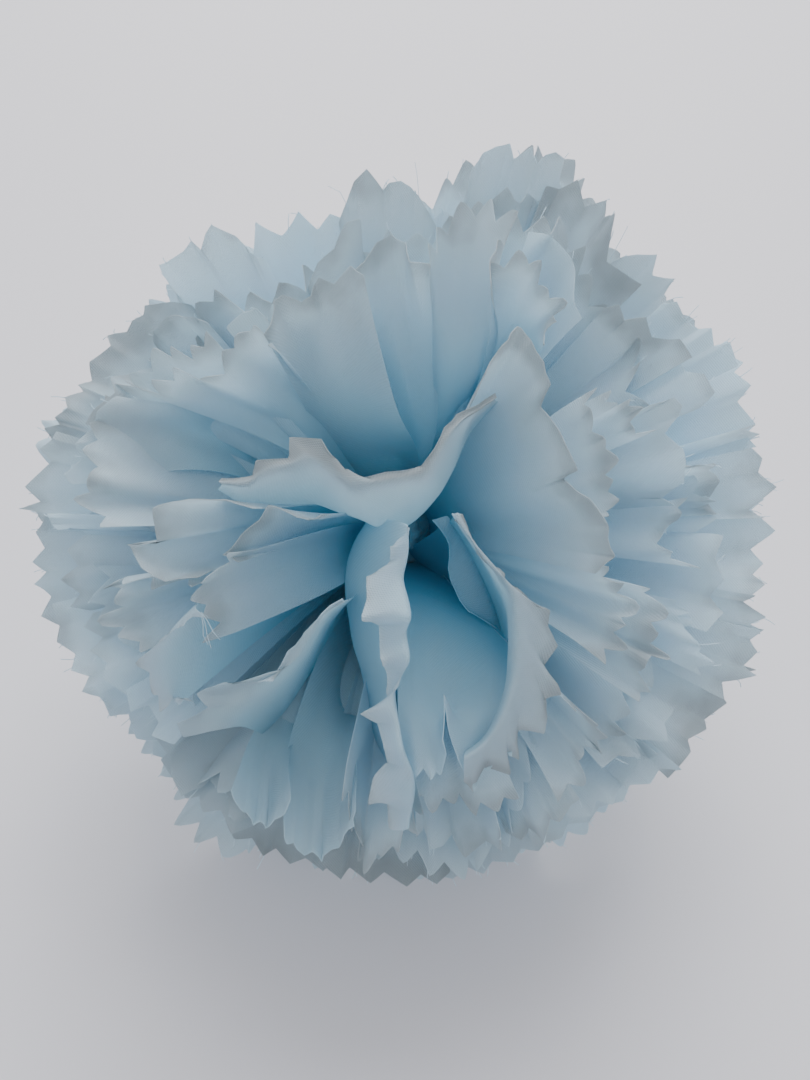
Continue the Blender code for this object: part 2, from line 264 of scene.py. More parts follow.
def through(lines, s):
    """The smooth curve through the lines, at the share s of the way from the first to the last."""
    ends = past_ends(lines)
    place = s * (len(lines) - 1)
    before = np.clip(place.astype(int), 0, len(lines) - 2)
    column = np.broadcast_to(np.arange(s.shape[1]), s.shape)
    return curve(*(ends[before + i, column] for i in range(4)), (place - before)[..., None])


def unit(vectors):
    """Each vector over its length, and a vector without length as it is."""
    return vectors / np.maximum(np.linalg.norm(vectors, axis=-1, keepdims=True), 1e-12)


def across_the_cloth(points):
    """The direction at right angles to the surface, from the steps along both ways of the grid."""
    return unit(np.cross(np.gradient(points, axis=1), np.gradient(points, axis=0)))


def petal_surface(petal):
    """Points of the petal on a grid of s by u. Near the rim s is drawn back by the cut of the teeth, and
    the corners of the rim are added. Then the waves and the bent teeth move the points across the
    cloth. The powers of s say how soon each of these fades below the rim."""
    u = petal["u"]
    steps = np.linspace(0, 1, STEPS)
    lines = np.stack([points_at(u, steps, line) for line in petal["lines"]])
    corners = points_at(u, steps, petal["corners"])
    s = np.broadcast_to((np.linspace(0, 1, ROWS + 1) ** ROW_POWER)[:, None], (ROWS + 1, len(u)))
    last = through(lines, np.array([[1 - RIM_STEP], [1.0]]) * np.ones(len(u)))
    speed = np.linalg.norm(last[1] - last[0], axis=1) / RIM_STEP
    s = s - np.minimum(petal["cut"] / speed, DEEPEST_CUT) * s**7
    near_rim = np.clip((s - CORNERS_FROM) / (1 - CORNERS_FROM), 0, 1)
    points = through(lines, s) + corners[None] * (near_rim**1.5)[..., None]
    turn, phase = 2 * np.pi * u * petal["length"], petal["phase"]
    move = petal["wave"] * s**2 * np.sin(turn / WAVE_LENGTH + phase + 1.5 * s)
    move = move + petal["flutter"] * s**5 * np.sin(turn / FLUTTER_LENGTH + 2 * phase)
    move = move + petal["pleat"] * np.sin(np.pi * s) * np.sin(turn / PLEAT_LENGTH + 3 * phase)
    move = move + petal["bend"] * np.clip((s - HINGE) / (1 - HINGE), 0, 1) ** 1.6
    return points + across_the_cloth(points) * move[..., None], s


print("a petal's grid has", ROWS + 1, "points from its root to its rim")

# %% [markdown]
# ## Teeth
#
# Pinking shears leave a zigzag of right angles, about 3.4 mm from tip to tip. Worn tips are a little
# blunt, and no two teeth are the same. The points that draw a rim line are tips of teeth. Where two of
# them are further apart than a tooth, more tips are put between them.

# %% Teeth along a rim
TOOTH_PITCH = 0.0034
TOOTH_DEPTH = 0.0020
TOOTH = ((0.0, 0.05), (0.13, 0.20), (0.32, 0.60), (0.5, 1.0), (0.68, 0.60), (0.87, 0.20))
DEEPEST_TOOTH = 1.15
UNEVEN_TIPS = 0.12
UNEVEN_DEPTH = (0.75, 1.15)
LEAN = 0.09


def add_teeth(petal, tips, plain, random):
    """Each tooth has the same six columns: a blunt tip, two on each flank and the bottom of the cut.
    The cut is the tooth's depth times the profile and a draw, and each tip bends by its own amount."""
    length = petal["length"]
    cuts = []
    for number, (start, end) in enumerate(zip(tips[:-1], tips[1:])):
        wide = (end - start) * length
        count = max(1, round(wide / TOOTH_PITCH))
        deep = 0 if number in plain else min(DEEPEST_TOOTH, wide / count / TOOTH_PITCH)
        edges = np.linspace(start, end, count + 1)
        edges[1:-1] += random.uniform(-UNEVEN_TIPS, UNEVEN_TIPS, count - 1) * (end - start) / count
        cuts += [(a, b, deep) for a, b in zip(edges[:-1], edges[1:])]
    u, cut, bend = [], [], []
    bends = random.uniform(-1, 1, len(cuts) + 1) * petal["tooth_bend"]
    where, profile = np.array(TOOTH).T
    for number, (start, end, deep) in enumerate(cuts):
        place = where + random.uniform(-LEAN, LEAN) * np.sin(np.pi * where)
        u += list(start + (end - start) * place)
        cut += list(profile * deep * TOOTH_DEPTH * random.uniform(*UNEVEN_DEPTH))
        bend += list(np.interp(where, (0, 0.5, 1), (bends[number], 0, bends[number + 1])))
    petal["u"] = np.array(u + [tips[-1]])
    petal["cut"] = np.array(cut + [profile[0] * TOOTH_DEPTH])
    petal["bend"] = np.array(bend + [bends[-1]])
    petal["teeth"] = len(cuts)


print("six columns a tooth, so one every", round(1000 * TOOTH_PITCH / 6, 2), "mm")

# %% [markdown]
# ## The heart
#
# The inner tiers don't go round evenly: single petals stand up, fold over and lean on each other, and
# each one is seen. The sixth tier makes the outline. So these petals are drawn one by one.
#
# A petal starts with the azimuth of its middle on its collar, and how far it spreads there. Then come
# its lines in the picture, each with its share of the reach, and the last of them is the rim. A place
# with a third value is that much of the reach nearer or further. The rim of a `toothed` petal is drawn
# with each of its teeth. That of an `outlined` one is a curve that gets its teeth by rule, apart from
# the stretches that `plain` names. `soften` says how far a corner of the rim is smoothed in the cloth
# below it: little where a narrow strip folds over, and much where a wide petal lies smooth up to its
# teeth. A petal's shift along the dye ramp paints shade here: the cloth of a petal with a minus value
# stays deep blue and darker up to its rim, as painted shade of the deep folds, and one with a plus
# value is greyer and darker, as painted shade of a face turned from the light. `tone` is painted light
# and shade too: it is how light a petal's satin is painted beside the others, lighter for a painted
# sheen and darker for painted shade. `open` lays a petal of the fourth tier that many degrees further
# back.
#
# The first tier is the middle of the photo: the ribbon over the centre with its flap at the left, the
# tongue below the flap, the hem that hangs down from the centre, and the wall right of the valley.

# %% Two kinds of petals, and the first tier
HEART = {}


def outlined(root, *lines, **more):
    """A petal whose rim is drawn as a curve."""
    return {"root": root, "lines": lines, **more}


def toothed(root, *lines, **more):
    """A petal whose rim is drawn with each of its teeth."""
    return outlined(root, *lines, toothed=True, **more)


HEART[1] = {
    "ribbon": toothed(
        (108, 120),
        (0.55, [(452, 440), (437, 455), (424, 472), (412, 490), (396, 498), (376, 500), (355, 496),
                (338, 490), (322, 484), (304, 478)]),
        (0.76, [(494, 406), (481, 421), (468, 438), (452, 472), (436, 498), (412, 522), (388, 530),
                (360, 519), (335, 511), (312, 504), (285, 509), (255, 508), (226, 490)]),
        (0.97, [(495, 401), (480, 412), (464, 424), (451, 440), (438, 462), (424, 480), (388, 488),
                (357, 492), (336, 482), (314, 468), (290, 472), (262, 480), (246, 488), (222, 484)]),
        (0.99, [(497, 394), (479, 405), (460, 416), (446, 428), (431, 451), (419, 469), (386, 472),
                (357, 479), (338, 464), (320, 439), (288, 436), (288, 458), (256, 460), (254, 476),
                (217, 480)]),
        # The ribbon's greyer shift along the dye ramp and its low tone are painted shade: its face leans
        # down, away from the light.
        pale=0.16, tone=0.87,
    ),
    "tongue": toothed(
        (165, 30),
        (0.55, [(372, 512), (358, 518), (345, 526), (336, 536)]),
        (0.97, [(321, 514), (308, 523), (298, 517), (270, 512), (260, 522), (240, 533), (222, 555),
                (238, 562)]),
    ),
    "lower_wall": toothed(
        (262, 44),
        (0.6, [(368, 520), (355, 541), (347, 565), (345, 590), (348, 615), (353, 643), (361, 668),
               (367, 700), (370, 745), (374, 800)]),
        (1.0, [(407, 524, 0), (408, 541, 0), (405, 562, -0.02), (402, 580, -0.02), (408, 604, 0.01),
               (409, 618, 0.03), (404, 632, -0.01), (409, 659, 0.02), (402, 676, -0.01), (396, 690, -0.01),
               (398, 717, 0.01), (403, 748, 0.02), (414, 785, 0), (409, 826, 0)]),
        (1.01, [(400, 534, 0), (391, 548, 0), (390, 563, -0.02), (367, 577, -0.03), (367, 600, 0),
                (361, 619, 0.03), (380, 624, -0.02), (380, 645, 0), (381, 662, 0.03), (386, 672, -0.02),
                (384, 697, -0.01), (360, 714, 0.01), (379, 721, -0.02), (384, 750, 0.03), (388, 762, -0.01),
                (374, 776, 0), (368, 802, 0.02), (385, 808, -0.02), (388, 832, 0)]),
        soften=5, pale=-0.05,
    ),
    "right_wall": toothed(
        (302, 50),
        (0.62, [(448, 522), (464, 546), (479, 572), (491, 598), (499, 627), (501, 655), (499, 682),
                (491, 710), (479, 738), (464, 750)]),
        (0.985, [(453, 513), (470, 541), (488, 565), (505, 592), (511, 627), (511, 655), (508, 680),
                 (499, 708), (484, 735), (464, 752)]),
        (1.0, [(458, 517), (481, 551), (506, 580), (530, 603), (550, 612), (548, 626), (559, 647),
               (545, 664), (545, 670), (561, 692), (542, 696), (546, 718), (544, 733), (518, 730),
               (519, 759), (508, 755), (510, 774), (486, 769), (473, 793), (464, 781)]),
        # The low tone is painted shade on the front of the wall.
        tone=0.92,
    ),
}
print("first tier:", *HEART[1])

# %% [markdown]
# The second tier has the wide smooth petals round the centre, the cloth of the valley with its slit,
# and the long fold at the lower left.

# %% The second tier
HEART[2] = {
    "right": toothed((18, 90), (1.0, [
        (596, 574), (614, 556), (606, 538), (608, 525), (585, 502), (562, 479), (579, 470), (569, 443),
        (553, 421), (541, 407), (550, 384), (545, 362), (530, 341), (519, 328), (511, 341), (499, 357),
        # The slightly low tone of this petal is painted shade.
        (483, 373), (477, 394)]), soften=48, tone=0.96),
    "upper_left": toothed(
        (100, 80),
        (0.38, [(418, 456), (398, 462), (374, 466), (350, 468), (332, 466)]),
        (0.7, [(396, 405), (375, 400), (350, 398), (325, 400), (303, 404)]),
        (1.0, [(362, 276), (350, 266), (343, 273), (334, 284), (318, 277), (312, 296), (302, 305),
               (283, 296), (275, 301), (272, 318), (262, 334)]),
        soften=44, tone=0.94,
    ),
    "valley": outlined(
        (284, 66),
        (0.66, [(396, 590), (412, 602), (436, 608), (466, 616), (498, 628)]),
        (0.9, [(398, 700), (418, 706), (438, 708), (456, 706), (482, 700), (508, 688)]),
        (1.0, [(398, 800), (416, 778), (431, 780), (443, 774), (448, 740), (444, 692), (454, 738),
               (463, 776), (474, 792), (488, 772), (512, 758)]),
        # The valley's cloth is kept deep blue and darker up to its rim: painted shade of the deep valley.
        plain=(3, 4, 5, 6), soften=5, pale=-0.25,
    ),
    "valley_edge": toothed(
        (296, 26),
        (0.58, [(446, 520), (474, 560), (492, 600), (500, 640)]),
        (0.68, [(432, 520), (442, 532), (449, 545), (451, 568), (456, 590), (467, 612), (496, 632)]),
        # Kept deeper blue still: painted shade in the valley.
        pale=-0.45,
    ),
    "left_valley": outlined(
        (192, 40),
        (0.6, [(345, 525), (334, 540), (328, 556), (334, 572), (345, 582)]),
        (1.0, [(228, 555), (197, 578), (189, 600), (203, 617), (208, 646)]),
    ),
    "upper_left_back": outlined(
        (148, 46),
        (0.6, [(330, 418), (316, 428), (306, 438), (300, 448), (298, 456)]),
        (1.0, [(272, 340), (253, 328), (235, 333), (223, 352), (200, 372), (172, 369), (150, 381),
               (124, 386)]),
    ),
    "lower_left_fold": toothed(
        (232, 30),
        (0.62, [(362, 588), (346, 604), (332, 622), (318, 650), (300, 690), (290, 720)]),
        (0.96, [(345, 602), (331, 612), (320, 626), (305, 652), (281, 678), (262, 696), (236, 726)]),
        (1.0, [(343, 599), (320, 613), (304, 632), (288, 652), (272, 681), (226, 684), (193, 697),
               (208, 708), (178, 722), (182, 738)]),
        # The bluer shift and the low tone are painted shade: they darken the bright fold.
        pale=-0.2, tone=0.9,
    ),
}
print("second tier:", *HEART[2])

# %% [markdown]
# The third tier fills what opens between them: the floor of the valley, both sides of the trough, the
# panels at the top and the folds at the left. Of its other petals only the teeth are seen.

# %% The third tier
HEART[3] = {
    "valley_floor": outlined(
        (286, 60),
        (0.3, [(392, 578), (420, 584), (450, 578), (476, 560)]),
        (0.78, [(396, 730), (430, 738), (470, 734), (510, 716)]),
    ),
    "trough": toothed(
        (254, 34),
        (0.46, [(334, 622), (342, 644), (350, 660), (360, 684)]),
        (0.76, [(290, 738), (314, 748), (338, 748), (358, 736)]),
        (1.0, [(282, 826), (288, 844), (296, 842), (304, 856), (312, 852), (322, 862), (330, 850),
               (339, 848), (345, 834), (353, 826), (357, 812)]),
        # The bluer shift and the low tone are painted shade of the deep trough.
        pale=-0.25, tone=0.94,
    ),
    "trough_left": toothed(
        (240, 22),
        (0.5, [(318, 636), (326, 652), (336, 668)]),
        (0.76, [(258, 724), (274, 736), (294, 742)]),
        (1.0, [(235, 790), (240, 810), (247, 812), (253, 826), (260, 824), (268, 831), (276, 820),
               (285, 814), (291, 800)]),
        # The bluer shift and the low tone are painted shade of the deep trough.
        pale=-0.25, tone=0.92,
    ),
    "top": toothed(
        (96, 40),
        (0.42, [(434, 440), (422, 444), (412, 446), (400, 450)]),
        (0.72, [(438, 345), (415, 350), (395, 350), (370, 345)]),
        (0.97, [(430, 262), (409, 262), (404, 243), (391, 235), (378, 242), (369, 262), (345, 280)]),
    ),
    "top_right": outlined(
        (76, 50),
        (0.42, [(470, 424), (456, 424), (442, 430), (428, 438)]),
        (0.74, [(497, 345), (474, 342), (452, 346), (433, 342)]),
        (1.0, [(487, 286), (503, 240), (512, 208), (490, 197), (461, 200), (438, 226), (426, 262)]),
        plain=(0,),
    ),
    "upper_right": outlined(
        (62, 40),
        (0.5, [(500, 410), (488, 402), (476, 402), (466, 410)]),
        (0.78, [(540, 352), (522, 336), (505, 330), (488, 338)]),
        (1.0, [(545, 345), (550, 318), (563, 302), (546, 290), (541, 260), (520, 250), (490, 262)]),
    ),
    "right_back": outlined((8, 50), (1.0, [
        (612, 520), (623, 500), (611, 480), (616, 458), (611, 436), (598, 410), (592, 386)])),
    "lower_right": outlined((328, 36), (1.0, [
        (606, 660), (628, 649), (623, 626), (633, 610), (618, 590), (612, 566)])),
    "lower_right_back": outlined((318, 36), (1.0, [
        (640, 706), (655, 691), (651, 662), (672, 659), (657, 635), (667, 615), (650, 590)])),
    "below_right_wall": outlined((308, 30), (1.0, [
        (560, 800), (585, 786), (583, 760), (605, 757), (606, 740), (597, 727), (578, 711)])),
    "valley_back": outlined((284, 30), (1.0, [
        (412, 800), (432, 813), (454, 805), (473, 820), (498, 812), (520, 800)])),
    "below_lower_wall": outlined((268, 24), (1.0, [
        (338, 802), (352, 832), (358, 862), (369, 876), (385, 857), (400, 853), (414, 815)])),
    "left_fold": toothed(
        (176, 30),
        (0.62, [(330, 505), (310, 515), (295, 525), (290, 540)]),
        (1.0, [(252, 509), (225, 501), (200, 497), (178, 500), (155, 513), (158, 544), (126, 540),
               (141, 569), (166, 584), (197, 578)]),
    ),
    "left_fold_back": outlined((186, 24), (1.0, [
        (190, 582), (150, 582), (100, 583), (112, 600), (97, 622), (118, 640), (140, 655)])),
    "left_curl": outlined(
        (204, 24),
        (0.66, [(300, 570), (285, 590), (275, 610), (270, 630)]),
        (0.96, [(204, 600), (185, 628), (176, 650), (178, 676), (186, 700)]),
        (1.0, [(206, 618), (160, 640), (134, 664), (150, 694), (164, 711), (192, 692)]),
    ),
    "left": outlined((172, 44), (1.0, [
        (104, 394), (88, 424), (80, 452), (84, 480), (72, 500), (100, 522)])),
    "left_upper": outlined((150, 30), (1.0, [(205, 330), (190, 345), (150, 352), (128, 372), (110, 384)])),
}
print("third tier:", *HEART[3])

# %% [markdown]
# The fourth tier is seen as rims that lap over each other. Its petals are painted in tones of their
# own: the lighter ones are painted sheen and glints of the satin, the darker ones painted shade. A few
# edges are folded over, so they show no teeth.

# %% The fourth tier
HEART[4] = {
    "low_right": toothed((322, 34), (1.0, [
        (600, 772), (618, 757), (641, 757), (634, 737), (668, 741), (664, 722), (676, 704)])),
    "right_streak": outlined((340, 26), (1.0, [
        (700, 676), (714, 664), (704, 645), (683, 625), (690, 612), (676, 604)]), plain=(2,), tone=1.06),
    "right_lobe": toothed((352, 26), (1.0, [
        (706, 632), (722, 612), (708, 594), (724, 580), (716, 560), (724, 542), (700, 536)]), tone=1.05),
    "right_curl": outlined((2, 22), (0.98, [
        (700, 566), (674, 556), (665, 540), (670, 526), (684, 518), (690, 500)]), plain=(2, 3), tone=1.06),
    "right_light_line": toothed((12, 24), (1.0, [
        (716, 512), (706, 500), (720, 488), (708, 470), (716, 458), (694, 462), (684, 458)]), tone=1.05),
    "right_dark_rim": toothed((20, 26), (1.0, [
        (676, 502), (660, 490), (684, 476), (686, 458), (684, 445), (664, 434), (676, 420), (679, 410),
        (668, 400), (646, 405)]), tone=0.98),
    "right_upper": outlined((32, 24), (0.98, [
        (655, 432), (636, 424), (640, 410), (626, 398), (610, 398), (602, 384)]), tone=1.06),
    "upper_right_lobe": toothed((40, 26), (1.0, [
        (700, 408), (716, 392), (704, 374), (684, 372), (676, 358), (650, 362)]), tone=1.06),
    "upper_right_dark": toothed((48, 26), (1.0, [
        (690, 356), (676, 336), (650, 336), (648, 318), (626, 320), (620, 304), (606, 308)]), tone=0.98),
    "light_blue_panel": outlined((64, 24), (1.0, [
        (580, 318), (576, 302), (573, 270), (562, 248), (548, 236),
        (530, 232)]), plain=range(5), tone=1.06),
    "upper_left_tooth": toothed((112, 30), (1.0, [
        (372, 262), (364, 242), (352, 218), (340, 221), (334, 247), (318, 262), (304, 300)]), tone=0.93),
    "small_dark_tooth": toothed((126, 30), (0.99, [
        (312, 300), (292, 300), (283, 298), (272, 303), (269, 318), (256, 308), (243, 313),
        (228, 330)]), tone=0.9),
    "bright_patch": outlined((140, 26), (0.97, [
        (205, 322), (186, 314), (166, 318), (152, 336), (158, 352),
        (172, 369)]), plain=range(5), tone=1.06),
    "weave_lobe": toothed((152, 24), (1.0, [
        (180, 370), (150, 364), (121, 369), (106, 384), (112, 396), (92, 410), (84, 424)]), tone=1.05),
    "left_valley_back": toothed(
        (164, 26),
        (0.72, [(240, 420), (222, 432), (214, 450), (216, 470)]),
        (1.0, [(116, 402), (96, 414), (92, 428), (74, 444), (82, 458), (64, 476), (72, 492)]),
    ),
    "white_streak": outlined((178, 20), (1.0, [
        (46, 512), (52, 524), (60, 531), (70, 533), (86, 531),
        (100, 540)]), plain=range(5), tone=1.06),
    "left_low_a": toothed((190, 24), (1.0, [
        (84, 540), (66, 552), (78, 566), (60, 578), (80, 592), (70, 606), (92, 616)])),
    "left_low_b": toothed((202, 24), (1.0, [
        (92, 612), (84, 628), (104, 640), (90, 652), (108, 664), (102, 678), (128, 694)])),
    "low_left_a": toothed((216, 26), (1.0, [
        (126, 690), (132, 712), (152, 706), (160, 722), (152, 736), (170, 742)])),
    "low_left_tooth": toothed((228, 26), (1.0, [
        (160, 742), (172, 760), (173, 780), (182, 796), (198, 788), (208, 770),
        (216, 764)]), tone=0.86, open=4),
    "low_left_b": toothed((238, 22), (1.0, [
        (204, 768), (216, 786), (230, 796), (229, 814), (234, 822), (247, 818), (257, 806),
        (268, 788)]), tone=0.86, open=8),
    "light_band": toothed((282, 24), (1.0, [
        (414, 838), (424, 828), (430, 850), (442, 846), (452, 834), (462, 858), (478, 842), (498, 852),
        (505, 832)])),
    "low_band": toothed((296, 22), (1.0, [
        (500, 834), (514, 842), (524, 828), (544, 842), (552, 820), (562, 824), (572, 806), (580, 800)])),
    "low_right_band": toothed((308, 24), (1.0, [
        (570, 818), (592, 816), (596, 800), (612, 806), (620, 786), (640, 778), (636, 762), (660, 756)])),
}
print("fourth tier:", *HEART[4])

# %% [markdown]
# The sixth tier is the outline of the head, tooth by tooth. Its lowest petals are painted a little
# darker, as painted shade under the head, and a few at the right are painted lighter, as painted sheen.

# %% The sixth tier
HEART[6] = {
    "low_right": toothed((334, 28), (1.0, [
        (668, 778), (690, 752), (686, 740), (706, 730), (704, 720), (726, 704), (716, 684), (757, 676)])),
    "right_a": toothed((346, 26), (1.0, [
        (724, 700), (722, 682), (757, 676), (743, 668), (757, 656), (749, 645), (764, 632), (750, 625),
        (766, 617), (742, 603), (756, 596)])),
    "right_b": toothed((358, 26), (1.0, [
        (758, 612), (742, 603), (766, 584), (753, 574), (765, 562), (752, 547), (776, 530), (748, 511),
        (764, 500)]), tone=1.04),
    "right_c": toothed((10, 26), (1.0, [
        (764, 520), (748, 511), (777, 487), (759, 474), (764, 462), (748, 450), (762, 440), (745, 431),
        (756, 423)]), tone=1.06),
    "right_d": toothed((22, 26), (1.0, [
        (754, 442), (744, 432), (755, 423), (737, 402), (751, 386), (734, 372), (744, 362), (728, 354),
        (730, 341)]), tone=1.06),
    "upper_right_a": toothed((34, 24), (1.0, [
        (738, 366), (730, 342), (714, 346), (712, 328), (698, 327), (684, 318), (676, 300),
        (664, 304)]), tone=1.06),
    "upper_right_b": toothed((44, 24), (1.0, [
        (690, 330), (673, 299), (660, 301), (676, 277), (652, 274), (657, 255), (640, 257), (626, 260),
        (608, 270)])),
    "upper_right_c": toothed((58, 26), (1.0, [
        (640, 282), (607, 262), (618, 217), (606, 220), (607, 201), (583, 207), (575, 179), (563, 190),
        (552, 187)])),
    "peak": toothed((72, 26), (1.04, [
        (570, 200), (558, 183), (562, 158), (556, 152), (546, 155), (540, 166), (536, 146), (515, 158),
        (510, 143), (496, 147), (486, 154), (478, 170), (469, 196)])),
    "peak_front": toothed((74, 24), (1.0, [
        (562, 246), (546, 204), (530, 193), (520, 203), (513, 200), (507, 187), (498, 200), (492, 222)])),
    "top": toothed((90, 26), (1.0, [
        (492, 205), (478, 198), (462, 199), (453, 216), (443, 210), (434, 218), (428, 205), (416, 214)])),
    "top_left_lobe": toothed((98, 24), (1.02, [
        (436, 226), (420, 196), (412, 187), (402, 181), (390, 183), (383, 190), (366, 169), (354, 181),
        (349, 200), (340, 222)])),
    "upper_left_a": toothed((112, 26), (1.0, [
        (362, 224), (344, 219), (330, 214), (318, 230), (296, 211), (281, 235), (256, 221), (252, 259),
        (240, 268)])),
    "upper_left_b": toothed((124, 26), (1.0, [
        (266, 258), (252, 259), (240, 250), (232, 237), (211, 225), (206, 233), (201, 250), (194, 239),
        (184, 251), (165, 263), (157, 266), (160, 278), (168, 298), (180, 308)])),
    "rounded_fold": outlined((130, 20), (0.99, [
        (246, 306), (230, 287), (205, 280), (180, 288), (174, 300)]), plain=range(4)),
    "left_a": toothed((142, 24), (1.0, [
        (196, 306), (172, 301), (148, 303), (146, 313), (133, 320), (127, 332), (107, 336), (110, 348),
        (91, 358), (96, 373), (80, 379)])),
    "left_b": toothed((156, 24), (1.0, [
        (102, 368), (96, 374), (80, 379), (84, 389), (65, 397), (68, 408), (56, 416), (61, 424), (45, 428),
        (53, 440), (40, 450)])),
    "left_c": toothed((170, 24), (1.0, [
        (56, 432), (52, 440), (40, 449), (52, 461), (25, 486), (41, 501), (19, 510), (45, 519),
        (37, 532)])),
    "left_d": toothed((183, 24), (1.0, [
        (34, 508), (45, 520), (36, 532), (45, 548), (32, 562), (46, 573), (33, 589), (51, 601), (41, 617),
        (60, 624)])),
    "low_left_a": toothed((198, 24), (1.0, [
        (52, 602), (60, 624), (58, 643), (76, 655), (72, 672), (90, 678), (82, 692), (105, 698),
        (110, 712)])),
    "low_left_b": toothed((212, 24), (1.0, [
        (98, 694), (104, 702), (110, 716), (128, 712), (131, 724), (136, 738), (152, 742), (154, 758),
        (172, 764), (176, 780)])),
    # The low tones from here to the bottom are painted shade: these petals lie under the head.
    "low_left_c": toothed((228, 26), (0.99, [
        (162, 762), (176, 784), (184, 798), (200, 796), (206, 814), (224, 812), (232, 834),
        (250, 826)]), tone=0.82),
    "bottom_a": toothed((246, 26), (0.99, [
        (226, 820), (234, 838), (250, 836), (262, 855), (276, 848), (290, 864), (306, 858), (322, 872),
        (336, 862)]), tone=0.76),
    "bottom_b": toothed((264, 26), (0.99, [
        (318, 862), (342, 880), (352, 868), (372, 884), (384, 872), (404, 886), (418, 874), (434, 884),
        (448, 872)]), tone=0.8),
    "bottom_c": toothed((282, 26), (0.99, [
        (430, 876), (456, 880), (468, 868), (486, 872), (498, 858), (514, 862), (522, 848), (540, 850),
        (548, 838)]), tone=0.86),
    "bottom_d": toothed((304, 28), (0.99, [
        (534, 846), (562, 838), (568, 824), (590, 822), (600, 806), (622, 802), (628, 786), (650, 784),
        (660, 768), (684, 768)])),
}
print("sixth tier:", *HEART[6])

# %% [markdown]
# ## From drawn lines to petals
#
# A petal with only a rim gets its bulge from a rule: halfway out it has four fifths or more of the
# rim's polar angle, so that it first rises and then opens. All the small differences come from a
# random source that starts from the tier, so the same head grows on every run.

# %% Finish a petal's description
OPENING = {2: 0.80, 3: 0.82, 4: 0.90, 5: 0.90, 6: 0.88, 7: 0.84, 8: 0.80}
BULGE_SHARE = 0.52
OUTLINE_POLAR, OUTLINE_RUFFLE, CONES_APART = 63, 0.6, 3.0
FOURTH_OPENS, FOURTH_RUFFLE = 5, 0.8
FARTHEST_ALONG_SIGHT, EDGE_ON = 0.0015, 0.02
NARROW_FOLD = 10
SOFTEN, SOFTEN_MORE = 22, 36
INNER_TIERS, OUTLINE_TIER = 3, 6
BEND_OF_TOOTHED, BEND_OF_OUTLINED, BEND_OF_REGULAR = 0.0003, 0.0008, 0.0013
CALM = {"wave": 0.0002, "flutter": 0.0002, "pleat": 0.0}
LIVELY = {"wave": 0.0009, "flutter": 0.0005, "pleat": 0.00008}
# The outer petals get a random painted sheen: a shift along the dye ramp and a tone, drawn from these
# ranges.
PAINTED_SHEEN_SHIFTS, TONE = (-0.10, 0.02), (0.93, 1.06)


def bulge(tier, rim):
    """The rim's directions with a smaller polar angle, at about half the reach."""
    azimuth, polar = two_angles(rim)
    return at_angles(azimuth, OPENING[tier] * polar, BULGE_SHARE)


def laid_in_cloth(corners, soft, before):
    """Corners were read from the picture, so each may be moved along its line of sight. It is moved
    onto the plane of the cloth at the rim, and less so where the cloth is seen edge-on."""
    normal = unit(np.cross(np.gradient(soft, axis=0), soft - before))
    sight = unit(soft - (0, 0, AWAY))
    facing = (normal * sight).sum(axis=1)
    along = -(normal * corners).sum(axis=1) * facing / (facing**2 + EDGE_ON)
    return corners + np.clip(along, -FARTHEST_ALONG_SIGHT, FARTHEST_ALONG_SIGHT)[:, None] * sight


def petal(tier, root, lines, tips, plain, random, soften=SOFTEN, **more):
    """A petal with its root arc and lines, its teeth and its own small movements. Corners in its rim
    are taken out of the line and kept apart, because they belong to the last few millimetres only. A
    petal with no line but its rim gets the bulge between root and rim."""
    middle, spread = root
    arc = ring(np.radians(middle + spread * np.linspace(-0.5, 0.5, STEPS)), *collar(tier))
    reaching = np.pad(lines[-1], ((soften, soften), (0, 0)), mode="reflect", reflect_type="odd")
    kernel = np.hanning(2 * soften + 1)
    soft = np.stack([np.convolve(column, kernel / kernel.sum(), "valid") for column in reaching.T], axis=1)
    corners = lines[-1] - soft
    lines = (lines[:-1] or [bulge(tier, soft)]) + [soft]
    if soften > NARROW_FOLD:
        corners = laid_in_cloth(corners, soft, lines[-2])
    made = {
        "lines": [arc] + lines, "corners": corners, "turned": np.radians(middle),
        "length": step_lengths(soft).sum(),
        "phase": random.uniform(0, 6.28), **more,
    }
    add_teeth(made, tips, plain, random)
    return made


def heart_petals(tier):
    """The drawn petals of one tier. Their tips are the points of the rim, found on its curve. The rims of
    the sixth tier lie on two cones in turn, just above and below that of the outline, and those of the
    fourth on a cone a little wider than where they are seen."""
    random = np.random.default_rng(40 + tier)
    petals = []
    for number, drawn in enumerate(HEART[tier].values()):
        lines = [smooth_line(seen_at(places, share), STEPS) for share, places in drawn["lines"]]
        share, places = drawn["lines"][-1]
        corners = seen_at(places, share)
        if tier == OUTLINE_TIER:
            corners = on_cone(places, OUTLINE_POLAR + CONES_APART / 2 * (-1) ** number, OUTLINE_RUFFLE)
        elif tier > INNER_TIERS:
            polar = two_angles(corners)[1].mean() + FOURTH_OPENS + drawn.get("open", 0)
            corners = on_cone(places, polar, FOURTH_RUFFLE)
        lines[-1] = smooth_line(corners, STEPS)
        plain = drawn.get("plain", ())
        if "toothed" in drawn:
            lines[-1] = straight_line(corners, STEPS)
            plain = range(len(corners))
        apart = np.linalg.norm(lines[-1][None] - corners[:, None], axis=2)
        tips = apart.argmin(axis=1) / (STEPS - 1)
        calm = tier <= INNER_TIERS
        petals.append(petal(
            tier, drawn["root"], lines, tips, plain, random, **(CALM if calm else LIVELY),
            soften=drawn.get("soften", SOFTEN if calm else SOFTEN_MORE),
            # Outer petals without values of their own get a random painted sheen.
            pale=drawn.get("pale", 0.0 if calm else random.uniform(*PAINTED_SHEEN_SHIFTS)),
            tone=drawn.get("tone", 1.0 if calm else random.uniform(*TONE)),
            tooth_bend=BEND_OF_TOOTHED if "toothed" in drawn else BEND_OF_OUTLINED,
        ))
    return petals


